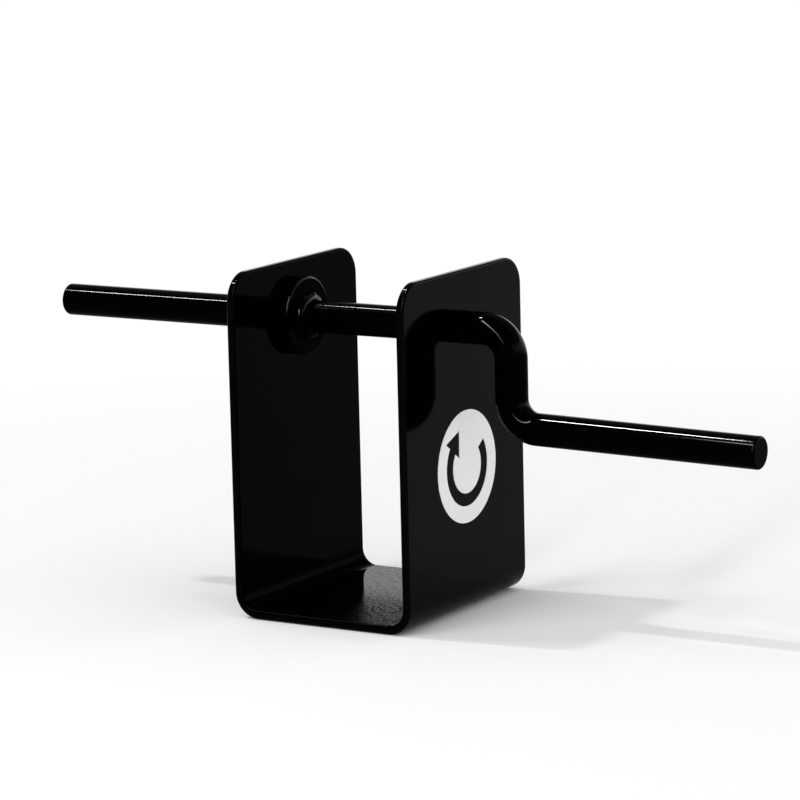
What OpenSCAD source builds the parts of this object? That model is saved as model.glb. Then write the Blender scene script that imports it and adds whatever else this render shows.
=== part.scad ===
// Hand-wrap winder: a bent-rod crank that turns in a U-shaped stand of strip steel.
// Units are millimetres. X runs along the rod towards the grip, Y across the strip, Z up.
// The origin is the middle of the stand's underside.

/* [Stand] */
// Clear width between the two upright plates
plate_gap = 72; // [60:1:110]
// Width of the steel strip, front to back
strip_width = 90; // [60:1:120]
// Thickness of the steel strip
strip_thickness = 3.4; // [2:0.1:6]
// Height of the plates above the table
stand_height = 134; // [100:1:180]
// Inside radius of the two bends at the foot
foot_bend_inner_radius = 6.6; // [3:0.2:12]
// Radius of the plates' top corners
top_corner_radius = 11.5; // [4:0.5:20]

/* [Crank] */
// Diameter of the round bar
rod_diameter = 12.7; // [8:0.1:16]
// Depth of the rod's axis below the plates' top edge
rod_depth = 22; // [14:0.5:40]
// Length of the spindle beyond the plate on the far side from the grip
spindle_length = 105.5; // [60:0.5:160]
// Distance from the plate's outer face to the middle of the crank arm
arm_offset = 20.5; // [18:0.5:40]
// Distance between the spindle's axis and the grip's axis at the arm
crank_radius = 37.5; // [30:0.5:60]
// Length of the grip, from the middle of the arm to the tip
grip_length = 105; // [60:1:140]
// Inside radius of the bar's two bends
rod_bend_inner_radius = 5; // [3:0.5:8]
// How much smaller the bar's radius is in its bends than in its straight stretches
bend_thinning = 0.05; // [0.03:0.01:0.1]
// Angle by which the grip droops below the spindle's direction, in degrees
grip_droop = 1; // [0:0.5:3]
// Bevel around both ends of the bar
rod_end_bevel = 1; // [0.4:0.1:2]

/* [Thrust washer and stop bead] */
// Outside diameter of the washer
washer_diameter = 31; // [24:0.5:40]
// Thickness of the washer
washer_thickness = 5; // [2.5:0.1:6]
// Bevel around the washer's rim
washer_bevel = 0.5; // [0.2:0.1:1]
// Height of the stop bead above the bar, and its width along the bar
bead_leg = 3.4; // [2:0.1:5]

/* [Turning mark] */
// Diameter of the round sticker
mark_diameter = 44; // [34:1:60]
// Thickness of the sticker's film
mark_thickness = 0.2; // [0.1:0.05:0.4]
// White rim left between the arrow's head and the sticker's edge
mark_rim = 3; // [1:0.5:6]
// Width of the arrow's stroke
arrow_stroke = 5; // [3:0.5:6]
// Width of the arrow's head
arrow_head_width = 12; // [8:0.5:14]
// Length of the arrow's head
arrow_head_length = 9; // [6:0.5:12]
// Part of the circle that the arrow's arc covers, in degrees
arrow_sweep = 250; // [200:5:270]

/* [Clearances] */
// Gap around the rod in the plates' holes
rod_clearance = 0.1; // [0.05:0.01:0.1]
// Gap around the rod in the washer
washer_clearance = 0.1; // [0.05:0.01:0.1]
// Gap between the plate and the washer that runs against it
washer_gap = 0.3; // [0.2:0.05:0.5]
// Gap between the washer and the stop bead
bead_gap = 0.2; // [0.1:0.05:0.5]

/* [Hidden] */
$fn = 96;

coat_colour = [0.03, 0.03, 0.03];
mark_colour = [0.95, 0.95, 0.95];

// How far a cut runs past the face that it leaves
past_face = 1;
// How far each straight stretch of the bar reaches into the thinner bend that it fuses with
fuse_overlap = 0.2;

plate_inner_x = plate_gap / 2;
plate_outer_x = plate_inner_x + strip_thickness;
stand_width = 2 * plate_outer_x;
foot_bend_outer_radius = foot_bend_inner_radius + strip_thickness;

rod_radius = rod_diameter / 2;
rod_height = stand_height - rod_depth;
bend_bar_radius = rod_radius - bend_thinning;
rod_bend_radius = rod_bend_inner_radius + bend_bar_radius;
hole_radius = rod_radius + rod_clearance;

// The crank's straight stretches between its tips and bends
rod_start_x = -plate_outer_x - spindle_length;
spindle_run = plate_outer_x + arm_offset - rod_bend_radius - rod_start_x;
arm_run = crank_radius - 2 * rod_bend_radius;
grip_run = grip_length - rod_bend_radius;

washer_x = washer_gap - plate_inner_x;
washer_radius = washer_diameter / 2;
washer_bore_radius = rod_radius + washer_clearance;
bead_x = washer_x + washer_thickness + bead_gap;

// The sticker sits midway between the foot's bend and the hole
mark_height = (foot_bend_outer_radius + rod_height - hole_radius) / 2;
mark_radius = mark_diameter / 2;
arrow_radius = mark_radius - mark_rim - arrow_head_width / 2;
arrow_open_angle = 360 - arrow_sweep;

// ---- Flat shapes ----

// A rectangle standing on the X axis, with its two lower corners rounded
module round_bottomed(width, height, radius) {
    translate([-width / 2, radius]) square([width, height - radius]);
    translate([radius - width / 2, 0]) square([width - 2 * radius, 2 * radius]);
    for (side = [-1, 1])
        translate([side * (width / 2 - radius), radius]) circle(r = radius);
}

// The bent strip's U-shaped section, seen along Y
module strip_section() {
    difference() {
        round_bottomed(stand_width, stand_height, foot_bend_outer_radius);
        translate([0, strip_thickness])
            round_bottomed(plate_gap, stand_height, foot_bend_inner_radius);
    }
}

// A plate's outline, seen along X: its two upper corners are rounded
module plate_outline() {
    translate([0, stand_height]) mirror([0, 1])
        round_bottomed(strip_width, stand_height, top_corner_radius);
}

// A quarter disc in the first quadrant
module quarter_disc(radius) {
    intersection() {
        circle(r = radius);
        square(radius);
    }
}

// The arc of the arrow: a ring less the wedge that it leaves open, from angle 0 to the sweep
module arrow_arc() {
    // The wedge's outer edge is a few chords that all lie past the ring
    reach = 2 * (arrow_radius + arrow_stroke);
    step = arrow_open_angle / 4;
    difference() {
        circle(r = arrow_radius + arrow_stroke / 2);
        circle(r = arrow_radius - arrow_stroke / 2);
        polygon(concat([[0, 0]], [for (part = [0:4]) reach * [cos(part * step), -sin(part * step)]]));
    }
}

// A round arrow that turns clockwise, open at the top and centred on the origin
module turn_arrow() {
    rotate(90 + arrow_open_angle / 2) {
        arrow_arc();
        translate([arrow_radius, 0]) polygon([
            [-arrow_head_width / 2, 0],
            [arrow_head_width / 2, 0],
            [0, -arrow_head_length],
        ]);
    }
}

// ---- Bent bar ----

// One straight stretch of bar along +X between two bends; the children start at its far end
module bar_straight(length) {
    translate([-fuse_overlap, 0, 0]) rotate([0, 90, 0])
        cylinder(d = rod_diameter, h = length + 2 * fuse_overlap);
    translate([length, 0, 0]) children();
}

// One end stretch of the bar along +X, from its bevelled tip at the origin to a bend
module bar_end(length) {
    rotate([0, 90, 0]) rotate_extrude() polygon([
        [0, 0],
        [rod_radius - rod_end_bevel, 0],
        [rod_radius, rod_end_bevel],
        [rod_radius, length + fuse_overlap],
        [0, length + fuse_overlap],
    ]);
}

// One bend that turns the bar from +X towards -Z; the children start at its far end
module bar_bend_down(angle) {
    translate([0, 0, -rod_bend_radius]) {
        rotate([-90, -90, 0]) rotate_extrude(angle = angle)
            translate([rod_bend_radius, 0]) circle(r = bend_bar_radius);
        rotate([0, angle, 0]) translate([0, 0, rod_bend_radius]) children();
    }
}

// The same bend the other way, from +X towards +Z
module bar_bend_up(angle) {
    mirror([0, 0, 1]) bar_bend_down(angle) mirror([0, 0, 1]) children();
}

// ---- Sub-parts ----

// The stand: one strip of steel, bent twice and drilled through both plates
module stand() {
    color(coat_colour) difference() {
        intersection() {
            translate([0, strip_width / 2, 0]) rotate([90, 0, 0])
                linear_extrude(strip_width) strip_section();
            translate([-plate_outer_x - past_face, 0, 0]) rotate([90, 0, 90])
                linear_extrude(stand_width + 2 * past_face) plate_outline();
        }
        translate([-plate_outer_x - past_face, 0, rod_height]) rotate([0, 90, 0])
            cylinder(r = hole_radius, h = stand_width + 2 * past_face);
    }
}

// The crank: one round bar with two bends, its arm hanging straight down
module crank_rod() {
    color(coat_colour) translate([rod_start_x, 0, rod_height]) {
        bar_end(spindle_run);
        translate([spindle_run, 0, 0])
            bar_bend_down(90) bar_straight(arm_run) bar_bend_up(90 - grip_droop)
            translate([grip_run, 0, 0]) mirror([1, 0, 0]) bar_end(grip_run);
    }
}

// The stop bead: a quarter-round ring of weld on the rod, flat towards the washer
module stop_bead() {
    color(coat_colour) translate([bead_x, 0, rod_height]) rotate([0, 90, 0])
        rotate_extrude() translate([rod_radius, 0]) quarter_disc(bead_leg);
}

// The thrust washer: a flat ring, loose on the rod between the plate and the stop bead
module thrust_washer() {
    color(coat_colour) translate([washer_x, 0, rod_height]) rotate([0, 90, 0])
        rotate_extrude() polygon([
            [washer_bore_radius, 0],
            [washer_radius - washer_bevel, 0],
            [washer_radius, washer_bevel],
            [washer_radius, washer_thickness - washer_bevel],
            [washer_radius - washer_bevel, washer_thickness],
            [washer_bore_radius, washer_thickness],
        ]);
}

// The sticker: a white disc with a round arrow cut out of it
module turn_mark() {
    color(mark_colour) translate([plate_outer_x, 0, mark_height]) rotate([90, 0, 90])
        linear_extrude(mark_thickness) difference() {
            circle(r = mark_radius);
            turn_arrow();
        }
}

stand();
crank_rod();
stop_bead();
thrust_washer();
turn_mark();
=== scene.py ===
"""The looks of the hand-wrap winder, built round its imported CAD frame. Lengths are metres."""

import math

import bpy
from mathutils import Matrix, Vector, noise
from mathutils.geometry import delaunay_2d_cdt


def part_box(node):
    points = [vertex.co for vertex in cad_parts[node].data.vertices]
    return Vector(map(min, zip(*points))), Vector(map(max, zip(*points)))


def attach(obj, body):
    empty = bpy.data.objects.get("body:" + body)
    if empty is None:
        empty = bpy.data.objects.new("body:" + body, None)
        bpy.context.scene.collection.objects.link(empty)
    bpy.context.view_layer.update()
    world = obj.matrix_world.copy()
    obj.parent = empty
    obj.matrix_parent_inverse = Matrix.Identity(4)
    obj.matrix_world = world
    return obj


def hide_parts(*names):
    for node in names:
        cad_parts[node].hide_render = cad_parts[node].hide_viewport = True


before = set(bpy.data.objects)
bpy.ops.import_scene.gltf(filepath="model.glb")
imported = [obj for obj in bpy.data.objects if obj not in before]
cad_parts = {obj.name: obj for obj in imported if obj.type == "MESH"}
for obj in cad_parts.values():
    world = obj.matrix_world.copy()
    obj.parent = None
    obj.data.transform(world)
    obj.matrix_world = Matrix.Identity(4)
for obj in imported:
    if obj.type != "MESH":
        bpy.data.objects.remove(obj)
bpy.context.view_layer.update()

MM = 0.001

# ---- Sizes, as in the CAD source ----

STRIP = 3.4 * MM
FOOT_INNER_R = 6.6 * MM
TOP_CORNER_R = 11.5 * MM
ROD_DEPTH = 22.0 * MM
ROD_R = 6.35 * MM
BEND_R = 11.3 * MM
ARM_OFFSET = 20.5 * MM
CRANK_THROW = 37.5 * MM
GRIP_LENGTH = 105.0 * MM
GRIP_DROOP = math.radians(1.0)
HOLE_R = 6.45 * MM
WASHER_BORE_R = 6.45 * MM
PLATE_OUTER_X, HALF_DEPTH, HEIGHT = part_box("stand")[1]
ROD_Z = HEIGHT - ROD_DEPTH
ROD_START_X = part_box("crank_rod")[0].x

# Roundings that the coat gives to edges
STRIP_EDGE_R = 1.0 * MM
HOLE_EDGE_R = 0.25 * MM
TIP_EDGE_R = 1.0 * MM
RIM_EDGE_R = 0.9 * MM
BORE_EDGE_R = 0.15 * MM

# Into how many pieces each stretch is cut
FOOT_BEND_STEPS, LEG_STEPS, TOP_STEPS, CORNER_STEPS = 18, 12, 8, 16
STRIP_EDGE_STEPS, HOLE_EDGE_STEPS, HOLE_AROUND = 6, 4, 96
SPINDLE_STEPS, ROD_BEND_STEPS, ARM_STEPS, GRIP_STEPS = 24, 30, 4, 12
TIP_STEPS, BAR_AROUND = 8, 80
WASHER_EDGE_STEPS, BEAD_STEPS, TURNED_AROUND = 8, 12, 160


def placed(name, data):
    """A new object in the scene."""
    item = bpy.data.objects.new(name, data)
    bpy.context.scene.collection.objects.link(item)
    return item


# ---- Meshes with exact normals ----

class Builder:
    """Collects vertices with normals, and faces. The attribute "inside" is 1 on the U's inner faces."""

    def __init__(self):
        self.points, self.normals, self.faces, self.inside = [], [], [], []

    def vertex(self, point, normal, inside=0.0):
        self.points.append(Vector(point))
        self.normals.append(Vector(normal))
        self.inside.append(inside)
        return len(self.points) - 1

    def grid(self, rows, closed_rows=False, closed_columns=False):
        """Quads between neighbouring rows of vertex numbers."""
        last_row = len(rows) if closed_rows else len(rows) - 1
        columns = len(rows[0])
        last_column = columns if closed_columns else columns - 1
        for i in range(last_row):
            upper, lower = rows[i], rows[(i + 1) % len(rows)]
            for j in range(last_column):
                k = (j + 1) % columns
                self.faces.append((upper[j], upper[k], lower[k], lower[j]))

    def facing_out(self, face):
        """The face, turned to agree with its vertices' normals."""
        corners = [self.points[i] for i in face]
        if len(face) == 4:
            across = (corners[2] - corners[0]).cross(corners[3] - corners[1])
        else:
            across = (corners[1] - corners[0]).cross(corners[2] - corners[1])
        wanted = sum((self.normals[i] for i in face), Vector())
        return face if across.dot(wanted) >= 0 else face[::-1]

    def piece(self, name):
        """A smooth object that has exactly the vertices' normals."""
        mesh = bpy.data.meshes.new(name)
        mesh.from_pydata([tuple(p) for p in self.points], [], [self.facing_out(f) for f in self.faces])
        mesh.validate()
        for polygon in mesh.polygons:
            polygon.use_smooth = True
        layer = mesh.attributes.new("inside", "FLOAT", "POINT")
        layer.data.foreach_set("value", self.inside)
        mesh.normals_split_custom_set_from_vertices([tuple(n.normalized()) for n in self.normals])
        return placed(name, mesh)


# ---- The stand: a flat strip with round edges, which is then bent ----

# The unrolled strip has the coordinates s along it, y across it and t outwards from its middle.
HALF_T = STRIP / 2
BASE_HALF = PLATE_OUTER_X - STRIP - FOOT_INNER_R
MID_BEND_R = FOOT_INNER_R + HALF_T
BEND_LENGTH = MID_BEND_R * math.pi / 2
# Where the bend ends and the leg begins, as s and as z, and where the strip's end and the hole are
LEG_S = BASE_HALF + BEND_LENGTH
LEG_Z = FOOT_INNER_R + STRIP
END_S = LEG_S + HEIGHT - LEG_Z
HOLE_S = LEG_S + ROD_Z - LEG_Z
TOLERANCE = 1e-7

# The points inside a leg's faces: their spacing, and their distance from its edges and its hole
FILL_SPACING = 8 * MM
FILL_MARGIN = 5 * MM
FILL_CLEARANCE = 4 * MM


def strip_frame(s):
    """Where the middle of the unrolled strip goes at length s: the point, and its s and t directions."""
    side = 1.0 if s >= 0 else -1.0
    run = abs(s)
    if run <= BASE_HALF:
        return Vector((s, 0, HALF_T)), Vector((1, 0, 0)), Vector((0, 0, -1))
    turn = min((run - BASE_HALF) / MID_BEND_R, math.pi / 2)
    outwards = Vector((side * math.sin(turn), 0, -math.cos(turn)))
    along = Vector((math.cos(turn), 0, side * math.sin(turn)))
    centre = Vector((side * BASE_HALF, 0, LEG_Z))
    middle = centre + outwards * MID_BEND_R
    if run > LEG_S:
        middle.z += run - LEG_S
    return middle, along, outwards


def strip_place(s, y, t, normal_s, normal_y, normal_t):
    """Where a point of the unrolled strip goes when it is bent, with its normal."""
    middle, along, outwards = strip_frame(s)
    point = middle + Vector((0, y, 0)) + outwards * t
    return point, along * normal_s + Vector((0, normal_y, 0)) + outwards * normal_t


def edge_band(build, outline, radius, steps):
    """The strip's rounded edge along a closed outline of (s, y, out_s, out_y).
    Returns the vertex numbers of its rims on the outer and the inner side."""
    columns = []
    for s, y, out_s, out_y in outline:
        column = []
        for flank in (1, -1):
            for step in range(steps + 1):
                angle = math.pi / 2 * (step if flank > 0 else steps - step) / steps
                reach = radius * (math.sin(angle) - 1)
                t = flank * (HALF_T - radius + radius * math.cos(angle))
                point, normal = strip_place(
                    s + reach * out_s, y + reach * out_y, t,
                    out_s * math.sin(angle), out_y * math.sin(angle), flank * math.cos(angle))
                column.append(build.vertex(point, normal, 0.5 - 0.5 * t / HALF_T))
        columns.append(column)
    build.grid(columns, closed_rows=True)
    return [c[0] for c in columns], [c[-1] for c in columns]


def drawn_in(outline, radius):
    """The outline's points, moved in by the radius of its rounded edge."""
    return [(s - radius * out_s, y - radius * out_y) for s, y, out_s, out_y in outline]


def strip_outline():
    """The unrolled strip's outline, the two outline numbers that share each station, and the stations."""
    bends = [BASE_HALF + BEND_LENGTH * k / FOOT_BEND_STEPS for k in range(FOOT_BEND_STEPS + 1)]
    leg_end = END_S - TOP_CORNER_R
    leg = [LEG_S + (leg_end - LEG_S) * k / LEG_STEPS for k in range(1, LEG_STEPS + 1)]
    half = bends + leg
    stations = [-s for s in reversed(half)] + half
    outline, pairs = [], {}
    for s in stations:
        pairs[s] = [len(outline)]
        outline.append((s, -HALF_DEPTH, 0.0, -1.0))

    def corner(centre_s, centre_y, start, skip_first, skip_last):
        for k in range(1 if skip_first else 0, CORNER_STEPS if skip_last else CORNER_STEPS + 1):
            angle = math.radians(start + 90 * k / CORNER_STEPS)
            out_s, out_y = math.cos(angle), math.sin(angle)
            outline.append((centre_s + TOP_CORNER_R * out_s, centre_y + TOP_CORNER_R * out_y, out_s, out_y))

    inner_y = HALF_DEPTH - TOP_CORNER_R
    corner(leg_end, -inner_y, -90, True, False)
    for k in range(1, TOP_STEPS):
        outline.append((END_S, -inner_y + 2 * inner_y * k / TOP_STEPS, 1.0, 0.0))
    corner(leg_end, inner_y, 0, False, True)
    for s in reversed(stations):
        pairs[s].append(len(outline))
        outline.append((s, HALF_DEPTH, 0.0, 1.0))
    corner(-leg_end, inner_y, 90, True, False)
    for k in range(1, TOP_STEPS):
        outline.append((-END_S, inner_y - 2 * inner_y * k / TOP_STEPS, -1.0, 0.0))
    corner(-leg_end, -inner_y, 180, False, True)
    return outline, pairs, stations


def leg_points(side):
    """An even spread of points over a leg, clear of its edges and its hole."""
    points = []
    s = LEG_S + FILL_SPACING
    while s < END_S - FILL_MARGIN:
        y = -HALF_DEPTH + FILL_SPACING
        while y < HALF_DEPTH - FILL_MARGIN:
            clear_of_hole = math.hypot(s - HOLE_S, y) > HOLE_R + FILL_CLEARANCE
            past_corner_centre = math.hypot(
                max(0, s - END_S + TOP_CORNER_R), max(0, abs(y) - HALF_DEPTH + TOP_CORNER_R))
            if clear_of_hole and past_corner_centre < TOP_CORNER_R - FILL_CLEARANCE:
                points.append((side * s, y))
            y += FILL_SPACING
        s += FILL_SPACING
    return points


def fill_leg(build, side, outline, rims, hole_outline, hole_rims):
    """Triangles over a leg's outer and inner faces, round its hole."""
    picked = [i for i, p in enumerate(outline) if side * p[0] >= LEG_S - TOLERANCE]
    flat = drawn_in([outline[i] for i in picked], STRIP_EDGE_R)
    hole = drawn_in(hole_outline, HOLE_EDGE_R)
    loose = leg_points(side)
    coordinates = [Vector(p) for p in flat + hole + loose]
    first_hole = len(flat)
    ring = [(first_hole + k, first_hole + (k + 1) % len(hole)) for k in range(len(hole))]
    found = delaunay_2d_cdt(coordinates, ring, [], 0, 1e-9)
    triangles = []
    for face in found[2]:
        corners = [found[3][i][0] for i in face]
        centre = sum((coordinates[i] for i in corners), Vector((0, 0))) / 3
        if math.hypot(centre.x - side * HOLE_S, centre.y) > HOLE_R + HOLE_EDGE_R * 0.9:
            triangles.append(corners)
    for inside, normal_t in ((0, 1), (1, -1)):
        spread = [build.vertex(*strip_place(s, y, HALF_T * normal_t, 0, 0, normal_t), inside)
                  for s, y in loose]
        numbers = [rims[inside][i] for i in picked] + list(hole_rims[inside]) + spread
        build.faces.extend(tuple(numbers[i] for i in triangle) for triangle in triangles)


def make_stand():
    build = Builder()
    outline, pairs, stations = strip_outline()
    rims = edge_band(build, outline, STRIP_EDGE_R, STRIP_EDGE_STEPS)
    for a, b in zip(stations, stations[1:]):
        if max(abs(a), abs(b)) > LEG_S + TOLERANCE:
            continue
        for rim in rims:
            build.faces.append((rim[pairs[a][0]], rim[pairs[b][0]], rim[pairs[b][1]], rim[pairs[a][1]]))
    for side in (-1, 1):
        hole_outline = []
        for k in range(HOLE_AROUND):
            angle = 2 * math.pi * k / HOLE_AROUND
            from_s, from_y = math.cos(angle), math.sin(angle)
            hole_outline.append((side * HOLE_S + HOLE_R * from_s, HOLE_R * from_y, -from_s, -from_y))
        hole_rims = edge_band(build, hole_outline, HOLE_EDGE_R, HOLE_EDGE_STEPS)
        fill_leg(build, side, outline, rims, hole_outline, hole_rims)
    return build.piece("bent_strip")


# ---- The crank: one bar swept along its bends ----

def bar_path():
    """Stations (centre, direction) along the crank in its own plane, between the rounded tips."""
    stations = []
    centre, heading = Vector((ROD_START_X + TIP_EDGE_R, 0, ROD_Z)), 0.0

    def direction(angle):
        return Vector((math.cos(angle), 0, -math.sin(angle)))

    def straight(length, steps):
        nonlocal centre
        start = centre.copy()
        for k in range(1, steps + 1):
            stations.append((start + direction(heading) * (length * k / steps), direction(heading)))
        centre = stations[-1][0].copy()

    def bend(angle):
        nonlocal centre, heading
        turn = 1 if angle > 0 else -1
        start = heading
        hub = centre + Vector((-math.sin(start), 0, -math.cos(start))) * (BEND_R * turn)
        for k in range(1, ROD_BEND_STEPS + 1):
            at = start + angle * k / ROD_BEND_STEPS
            out = Vector((math.sin(at), 0, math.cos(at))) * turn
            stations.append((hub + out * BEND_R, direction(at)))
        centre, heading = stations[-1][0].copy(), start + angle

    stations.append((centre.copy(), direction(heading)))
    straight(PLATE_OUTER_X + ARM_OFFSET - BEND_R - centre.x, SPINDLE_STEPS)
    bend(math.pi / 2)
    straight(CRANK_THROW - 2 * BEND_R, ARM_STEPS)
    bend(-(math.pi / 2 - GRIP_DROOP))
    straight(GRIP_LENGTH - BEND_R - TIP_EDGE_R, GRIP_STEPS)
    return stations


def make_bar():
    build = Builder()
    stations = bar_path()

    def ring(centre, along, radius, lean):
        """One round of vertices; lean turns the normals from straight out towards the direction along."""
        side = Vector((0, 1, 0))
        up = side.cross(along)
        row = []
        for k in range(BAR_AROUND):
            angle = 2 * math.pi * k / BAR_AROUND
            out = side * math.cos(angle) + up * math.sin(angle)
            normal = out * math.cos(lean) + along * math.sin(lean)
            row.append(build.vertex(centre + out * radius, normal))
        return row

    def tip(centre, along, sign):
        """The rounded end beyond centre, from its flat face to the bar's side."""
        rows = []
        flat_r = ROD_R - TIP_EDGE_R
        for share in (0.5, 1.0):
            rows.append(ring(centre + along * (sign * TIP_EDGE_R), along, flat_r * share, sign * math.pi / 2))
        for k in range(1, TIP_STEPS + 1):
            angle = math.pi / 2 * k / TIP_STEPS
            offset = TIP_EDGE_R * math.cos(angle)
            rows.append(ring(centre + along * (sign * offset), along, flat_r + TIP_EDGE_R * math.sin(angle),
                             sign * (math.pi / 2 - angle)))
        hub = build.vertex(centre + along * (sign * TIP_EDGE_R), along * sign)
        for k in range(BAR_AROUND):
            build.faces.append((hub, rows[0][k], rows[0][(k + 1) % BAR_AROUND]))
        return rows

    first = tip(stations[0][0], stations[0][1], -1)
    middle = [ring(centre, along, ROD_R, 0.0) for centre, along in stations[1:-1]]
    last = tip(stations[-1][0], stations[-1][1], 1)
    build.grid(first + middle + last[::-1], closed_columns=True)
    return build.piece("bent_bar")


# ---- Turned pieces round the rod ----

# The sags in the coat on the washer's rim are noise between 0 and 1 times this
SAG = 0.45 * MM
# The weld bead's thickness, and its width on the rod, as shares of the CAD bead's
BEAD_FILL, BEAD_FOOT = 0.76, 0.7
# How far the bead reaches into the rod, and the width over which its lumps begin
BEAD_ROOT = 0.3 * MM
BEAD_FADE = 0.4 * MM


def turned(name, profile, shift):
    """A closed profile of (x, r, normal_x, normal_r) turned round the rod's axis, with each point
    shifted out by shift(angle, x, r). The normals come from the shape that this gives."""
    build = Builder()
    rows = []
    for k in range(TURNED_AROUND):
        angle = 2 * math.pi * k / TURNED_AROUND
        out = Vector((0, math.cos(angle), math.sin(angle)))
        row = []
        for x, r, normal_x, normal_r in profile:
            normal = Vector((normal_x, 0, 0)) + out * normal_r
            point = Vector((x, 0, ROD_Z)) + out * r + normal * shift(angle, x, r)
            row.append(build.vertex(point, normal))
        rows.append(row)
    build.grid(rows, closed_rows=True, closed_columns=True)
    piece = build.piece(name)
    piece.data.normals_split_custom_set([(0.0, 0.0, 0.0)] * len(piece.data.loops))
    return piece


def noise_at(angle, turns, along):
    """Noise that closes on itself round the rod, finer where turns is larger."""
    return noise.noise(Vector((turns * math.cos(angle), turns * math.sin(angle), along)))


def ring_profile(low_x, high_x, low_r, high_r):
    """The profile of a flat ring with rounded corners."""
    corners = [
        (high_x, high_r, RIM_EDGE_R, 0),
        (low_x, high_r, RIM_EDGE_R, 90),
        (low_x, low_r, BORE_EDGE_R, 180),
        (high_x, low_r, BORE_EDGE_R, 270),
    ]
    profile = []
    for x, r, radius, start in corners:
        toward_x = -1 if x == high_x else 1
        toward_r = -1 if r == high_r else 1
        for k in range(WASHER_EDGE_STEPS + 1):
            angle = math.radians(start + 90 * k / WASHER_EDGE_STEPS)
            out_x, out_r = math.cos(angle), math.sin(angle)
            profile.append((x + radius * (toward_x + out_x), r + radius * (toward_r + out_r), out_x, out_r))
    return profile


def make_washer():
    """A flat ring whose coat is uneven round its rim."""
    low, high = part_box("thrust_washer")
    outer = (high.y - low.y) / 2

    def sags(angle, x, r):
        near_rim = max(0.0, min(1.0, (r - outer + 2 * MM) / (1.2 * MM)))
        return -SAG * abs(noise_at(angle, 2.6, 300 * (x - low.x))) * near_rim

    return turned("ring_washer", ring_profile(low.x, high.x, WASHER_BORE_R, outer), sags)


def make_bead():
    """A lumpy run of weld round the rod, in short overlapping puddles."""
    low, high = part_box("stop_bead")
    leg = high.x - low.x
    profile = [(low.x, ROD_R - BEAD_ROOT, -1.0, 0.0), (low.x, ROD_R + leg * 0.5, -1.0, 0.0)]
    for k in range(BEAD_STEPS + 1):
        angle = math.pi / 2 * (1 - k / BEAD_STEPS)
        out_x, out_r = math.cos(angle), math.sin(angle)
        profile.append((low.x + leg * BEAD_FILL * out_x, ROD_R + leg * BEAD_FILL * out_r, out_x, out_r))
    profile.append((low.x + leg * BEAD_FOOT, ROD_R - BEAD_ROOT, 0.0, -1.0))

    def lumps(angle, x, r):
        fade = min(1.0, (x - low.x) / BEAD_FADE) if r > ROD_R else 0.0
        puddle = abs(math.sin(angle * 5.5 + 0.6 * math.sin(angle * 2) + 120 * (x - low.x)))
        return (0.6 * (puddle - 0.5) + 0.8 * noise_at(angle, 5.3, 1100 * (x - low.x))) * MM * fade

    return turned("weld_bead", profile, lumps)


# ---- Materials ----

def new_material(name):
    material = bpy.data.materials.new(name)
    material.use_nodes = True
    tree = material.node_tree
    return material, tree, tree.nodes["Principled BSDF"]


def scaled(tree, value, low, high, start=0.0, end=1.0, kind="LINEAR"):
    """Maps an output that runs from start to end onto low to high."""
    node = tree.nodes.new("ShaderNodeMapRange")
    node.interpolation_type = kind
    for key, number in (("From Min", start), ("From Max", end), ("To Min", low), ("To Max", high)):
        node.inputs[key].default_value = number
    tree.links.new(value, node.inputs["Value"])
    return node.outputs["Result"]


def eased(tree, value, low, high, start, end):
    """The same with a smooth start and end."""
    return scaled(tree, value, low, high, start, end, "SMOOTHSTEP")


def combined(tree, operation, first, second):
    node = tree.nodes.new("ShaderNodeMath")
    node.operation = operation
    tree.links.new(first, node.inputs[0])
    tree.links.new(second, node.inputs[1])
    return node.outputs["Value"]


def coordinate(tree, kind):
    return tree.nodes.new("ShaderNodeTexCoord").outputs[kind]


def axes_of(tree, vector):
    """The outputs X, Y and Z of a vector."""
    node = tree.nodes.new("ShaderNodeSeparateXYZ")
    tree.links.new(vector, node.inputs["Vector"])
    return node.outputs


def noise_node(tree, vector, scale, detail, roughness=0.5):
    node = tree.nodes.new("ShaderNodeTexNoise")
    for key, number in (("Scale", scale), ("Detail", detail), ("Roughness", roughness)):
        node.inputs[key].default_value = number
    tree.links.new(vector, node.inputs["Vector"])
    return node.outputs["Fac"]


def bumped(tree, height, distance, normal=None):
    node = tree.nodes.new("ShaderNodeBump")
    node.inputs["Strength"].default_value = 1.0
    node.inputs["Distance"].default_value = distance
    tree.links.new(height, node.inputs["Height"])
    if normal is not None:
        tree.links.new(normal, node.inputs["Normal"])
    return node.outputs["Normal"]


def tinted(tree, factor, dark, light):
    """A colour between the two (red, green, blue)."""
    node = tree.nodes.new("ShaderNodeMix")
    node.data_type = "RGBA"
    node.inputs["A"].default_value = (*dark, 1)
    node.inputs["B"].default_value = (*light, 1)
    tree.links.new(factor, node.inputs["Factor"])
    return node.outputs["Result"]


def rays(tree, *kinds):
    """1 for rays of these kinds, 0 for others."""
    path = tree.nodes.new("ShaderNodeLightPath")
    result = path.outputs[kinds[0]]
    for kind in kinds[1:]:
        result = combined(tree, "MAXIMUM", result, path.outputs[kind])
    return result


BLACK = 0.0004


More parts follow.
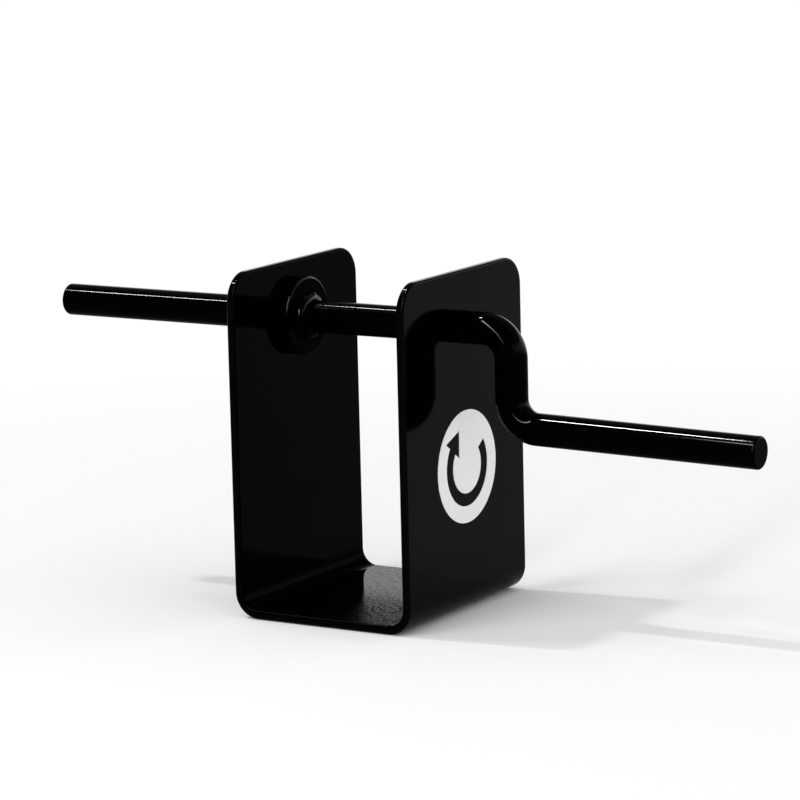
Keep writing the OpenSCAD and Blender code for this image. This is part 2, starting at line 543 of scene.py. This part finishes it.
def powder_coat(name, gloss_below, gloss_above, roughness, peel, grain):
    """Gloss black powder coat: orange peel, fine grain and soft smears in the gloss.
    It was sprayed from above and in front, so that more of it, and glossier, lies on those sides."""
    material, tree, shader = new_material(name)
    place = coordinate(tree, "Object")
    facing = axes_of(tree, coordinate(tree, "Normal"))
    from_above = eased(tree, facing["Z"], 0.0, 1.0, 0.10, 0.50)
    from_front = eased(tree, facing["Y"], 1.0, 0.1, 0.10, 0.60)
    gloss = scaled(tree, combined(tree, "MULTIPLY", from_above, from_front), gloss_below, gloss_above)
    tree.links.new(gloss, shader.inputs["Specular IOR Level"])

    mottle = noise_node(tree, place, 240, 2)
    colour = tinted(tree, mottle, (BLACK * 0.6,) * 3, (BLACK * 1.4,) * 3)
    tree.links.new(colour, shader.inputs["Base Color"])
    smear = scaled(tree, noise_node(tree, place, 28, 3), roughness * 0.6, roughness * 1.5)
    tree.links.new(smear, shader.inputs["Roughness"])
    wavy = bumped(tree, noise_node(tree, place, 420, 1), peel)
    fine = bumped(tree, noise_node(tree, place, 2600, 2), grain, wavy)
    tree.links.new(fine, shader.inputs["Normal"])
    return material


def thin_inside(material):
    """Less powder reaches the U's inner faces, and least of it their bends, so they are less glossy.
    The base inside has fine dull streaks from front to back, and grows duller towards the front."""
    tree = material.node_tree
    shader = tree.nodes["Principled BSDF"]
    gloss = shader.inputs["Specular IOR Level"].links[0].from_socket
    smear = shader.inputs["Roughness"].links[0].from_socket
    place = coordinate(tree, "Object")
    axes = axes_of(tree, place)
    inside = tree.nodes.new("ShaderNodeAttribute")
    inside.attribute_name = "inside"
    low_down = eased(tree, axes["Z"], 1, 0, 3.5 * MM, 4.5 * MM)
    base = combined(tree, "MULTIPLY", inside.outputs["Fac"], low_down)
    walls = combined(tree, "SUBTRACT", inside.outputs["Fac"], base)
    lost_on_walls = eased(tree, axes["Z"], 0.93, 0.64, 8.5 * MM, 12 * MM)

    # The streaks are noise that is stretched along Y
    stretched = tree.nodes.new("ShaderNodeVectorMath")
    stretched.operation = "MULTIPLY"
    tree.links.new(place, stretched.inputs[0])
    stretched.inputs[1].default_value = (1, 0.25, 1)
    streaks = noise_node(tree, stretched.outputs["Vector"], 1500, 3, 0.6)
    lost_on_base = tree.nodes.new("ShaderNodeMix")
    in_front = eased(tree, axes["Y"], 1.0, 0.0, -16 * MM, 22 * MM)
    tree.links.new(in_front, lost_on_base.inputs["Factor"])
    tree.links.new(scaled(tree, streaks, 0.0, 0.85, 0.36, 0.62), lost_on_base.inputs["A"])
    tree.links.new(scaled(tree, streaks, 0.80, 1.0, 0.38, 0.58), lost_on_base.inputs["B"])

    lost = combined(tree, "ADD", combined(tree, "MULTIPLY", walls, lost_on_walls),
                    combined(tree, "MULTIPLY", base, lost_on_base.outputs["Result"]))
    kept = combined(tree, "MULTIPLY", gloss, scaled(tree, lost, 1.0, 0.0))
    tree.links.new(kept, shader.inputs["Specular IOR Level"])

    rough_front = eased(tree, axes["Y"], 0.20, 0.0, -36 * MM, 4 * MM)
    dull = combined(tree, "MULTIPLY", base, rough_front)
    tree.links.new(combined(tree, "ADD", smear, dull), shader.inputs["Roughness"])


def white_film():
    """White vinyl: a faint pebble in its surface and a slight greying."""
    material, tree, shader = new_material("white_film")
    shader.inputs["Specular IOR Level"].default_value = 0.3
    place = coordinate(tree, "Object")
    colour = tinted(tree, noise_node(tree, place, 150, 4), (0.88, 0.88, 0.87), (0.93, 0.93, 0.93))
    tree.links.new(colour, shader.inputs["Base Color"])
    tree.links.new(scaled(tree, noise_node(tree, place, 60, 3), 0.28, 0.45), shader.inputs["Roughness"])
    tree.links.new(bumped(tree, noise_node(tree, place, 1800, 2), 0.006 * MM), shader.inputs["Normal"])
    return material


def pale_floor():
    """A white floor that takes the object's shadow, and away from the object looks plain white."""
    material, tree, shader = new_material("pale_floor")
    shader.inputs["Base Color"].default_value = (0.97, 0.97, 0.97, 1)
    shader.inputs["Roughness"].default_value = 1.0
    shader.inputs["Specular IOR Level"].default_value = 0.0
    distance = tree.nodes.new("ShaderNodeVectorMath")
    distance.operation = "LENGTH"
    tree.links.new(coordinate(tree, "Object"), distance.inputs["Vector"])
    away = eased(tree, distance.outputs["Value"], 0.0, 1.0, 0.22, 0.60)
    seen = rays(tree, "Is Camera Ray", "Is Transmission Ray", "Is Glossy Ray")
    white = tree.nodes.new("ShaderNodeEmission")
    white.inputs["Color"].default_value = (1, 1, 1, 1)
    white.inputs["Strength"].default_value = 1.0
    blend = tree.nodes.new("ShaderNodeMixShader")
    tree.links.new(combined(tree, "MULTIPLY", away, seen), blend.inputs["Fac"])
    tree.links.new(shader.outputs["BSDF"], blend.inputs[1])
    tree.links.new(white.outputs["Emission"], blend.inputs[2])
    tree.links.new(blend.outputs["Shader"], tree.nodes["Material Output"].inputs["Surface"])
    return material


# ---- The object ----

def set_material(piece, material):
    piece.data.materials.clear()
    piece.data.materials.append(material)


def dress(piece, material, body, node):
    """Gives a new piece its material, and puts it in the place of a CAD node."""
    set_material(piece, material)
    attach(piece, body)
    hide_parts(node)


strip_coat = powder_coat("strip_coat", gloss_below=0.022, gloss_above=0.17, roughness=0.07,
                         peel=0.008 * MM, grain=0.0005 * MM)
thin_inside(strip_coat)
bar_coat = powder_coat("bar_coat", gloss_below=0.005, gloss_above=0.18, roughness=0.055,
                       peel=0.005 * MM, grain=0.0004 * MM)
ring_coat = powder_coat("ring_coat", gloss_below=0.003, gloss_above=0.8, roughness=0.09,
                        peel=0.010 * MM, grain=0.0008 * MM)

dress(make_stand(), strip_coat, "stand", "stand")
dress(make_bar(), bar_coat, "crank", "crank_rod")
dress(make_bead(), ring_coat, "crank", "stop_bead")
dress(make_washer(), ring_coat, "washer", "thrust_washer")
set_material(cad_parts["turn_mark"], white_film())

# ---- The studio ----

FLOOR_HALF = 14.0
# A hair below the stand, so that the two faces don't fight
FLOOR_Z = -0.2 * MM

# How bright the room is in a gloss outside its white part
DIM = 0.08
# The soft light from all round, as a share of white, and how much more of it comes from +X
SOFT_LIGHT, SOFT_LEAN = 0.53, 0.42
# How far the strip lamp is from the rod, and how wide the line lamps look, in degrees
LAMP_DISTANCE = 2.0
LINE_WIDTH = 1.6


def white_room():
    """Soft light, a little more of it from the right, at +X.
    In a gloss the room is a low white backdrop behind and beside the object, and is dim elsewhere."""
    world = bpy.data.worlds.new("room")
    bpy.context.scene.world = world
    world.use_nodes = True
    tree = world.node_tree
    background = tree.nodes["Background"]
    background.inputs["Color"].default_value = (1, 1, 1, 1)
    axes = axes_of(tree, coordinate(tree, "Generated"))
    low = eased(tree, axes["Z"], 1.0, DIM, 0.25, 0.50)
    behind = eased(tree, axes["Y"], DIM, 1.0, 0.0, 0.4)
    on_left = eased(tree, axes["X"], 1.0, DIM, -0.85, -0.65)
    on_right = eased(tree, axes["X"], DIM, 1.0, 0.65, 0.85)
    around = combined(tree, "MAXIMUM", behind, combined(tree, "MAXIMUM", on_left, on_right))
    seen_in_gloss = combined(tree, "MULTIPLY", low, around)
    soft = scaled(tree, axes["X"], SOFT_LIGHT - SOFT_LEAN, SOFT_LIGHT + SOFT_LEAN, -1.0, 1.0)
    spread = combined(tree, "MULTIPLY", rays(tree, "Is Diffuse Ray"), soft)
    brighter = combined(tree, "MAXIMUM", seen_in_gloss, spread)
    through = rays(tree, "Is Camera Ray", "Is Transmission Ray")
    tree.links.new(combined(tree, "MAXIMUM", brighter, through), background.inputs["Strength"])


def line_lamp(name, towards_x, roll, floor_share):
    """A far lamp that draws a thin line of light along the bar, where its direction's X suits.
    Roll is its direction's angle round the X axis, up from -Y. It lights the floor to that share of white."""
    reach = math.sqrt(1 - towards_x * towards_x)
    angle = math.radians(roll)
    direction = Vector((towards_x, -reach * math.cos(angle), reach * math.sin(angle))).normalized()
    data = bpy.data.lights.new(name, "SUN")
    data.energy = floor_share * math.pi / direction.z
    data.angle = math.radians(LINE_WIDTH)
    lamp = placed(name, data)
    lamp.rotation_mode = "QUATERNION"
    lamp.rotation_quaternion = direction.to_track_quat("Z", "Y")


def strip_lamp(name, start, end, width, floor_share):
    """A long narrow lamp that reaches from one direction to the other, width degrees wide."""
    start, end = Vector(start).normalized(), Vector(end).normalized()
    centre = (start + end).normalized()
    along = (end - start).normalized()
    data = bpy.data.lights.new(name, "AREA")
    data.shape = "RECTANGLE"
    data.size = 2 * LAMP_DISTANCE * math.tan(start.angle(end) / 2)
    data.size_y = LAMP_DISTANCE * math.radians(width)
    data.energy = floor_share * math.pi / centre.z * math.pi * LAMP_DISTANCE ** 2
    lamp = placed(name, data)
    axes = Matrix((along, centre.cross(along), centre)).transposed().to_4x4()
    lamp.matrix_world = Matrix.Translation(centre * LAMP_DISTANCE + Vector((0, 0, ROD_Z))) @ axes


floor_mesh = bpy.data.meshes.new("floor")
floor_corners = [(x * FLOOR_HALF, y * FLOOR_HALF, 0) for x, y in ((-1, -1), (1, -1), (1, 1), (-1, 1))]
floor_mesh.from_pydata(floor_corners, [], [(0, 1, 2, 3)])
floor_mesh.materials.append(pale_floor())
floor = placed("floor", floor_mesh)
floor.location.z = FLOOR_Z

white_room()
for number, towards_x in enumerate((-0.573, -0.552)):
    line_lamp("spindle_line_%d" % number, towards_x, 77, 0.02)
line_lamp("rod_line", -0.515, 100, 0.02)
for number, towards_x in enumerate((-0.467, -0.447, -0.427)):
    line_lamp("grip_line_%d" % number, towards_x, 86, 0.055)
strip_lamp("strip_lamp", (-0.36, -0.40, 0.84), (0.12, -0.98, 0.16), 4, 0.27)

# ---- The camera, as fitted to the photograph ----

YAW, PITCH, ROLL = (math.radians(a) for a in (31.24, 10.2, -1.38))
FOCAL_PIXELS = 3941.97
IMAGE_SIZE = 800
SENSOR_WIDTH = 36
# The origin's place as the camera sees it: to the right, up, and ahead
SHIFT = Vector((-6.73, -79.47, 1544.8)) * MM

forward = Vector((-math.sin(YAW) * math.cos(PITCH), math.cos(YAW) * math.cos(PITCH), -math.sin(PITCH)))
level = Vector((math.cos(YAW), math.sin(YAW), 0))
upward = level.cross(forward)
right = level * math.cos(ROLL) + upward * math.sin(ROLL)
up = upward * math.cos(ROLL) - level * math.sin(ROLL)
camera_place = -(Matrix((right, up, forward)).transposed() @ SHIFT)

camera_data = bpy.data.cameras.new("camera")
camera_data.sensor_fit = "HORIZONTAL"
camera_data.sensor_width = SENSOR_WIDTH
camera_data.lens = SENSOR_WIDTH * FOCAL_PIXELS / IMAGE_SIZE
camera_data.clip_start, camera_data.clip_end = 0.05, 60
camera = placed("camera", camera_data)
facing = Matrix((right, up, -forward)).transposed().to_4x4()
camera.matrix_world = Matrix.Translation(camera_place) @ facing
bpy.context.scene.camera = camera
bpy.context.scene.view_settings.view_transform = "Standard"
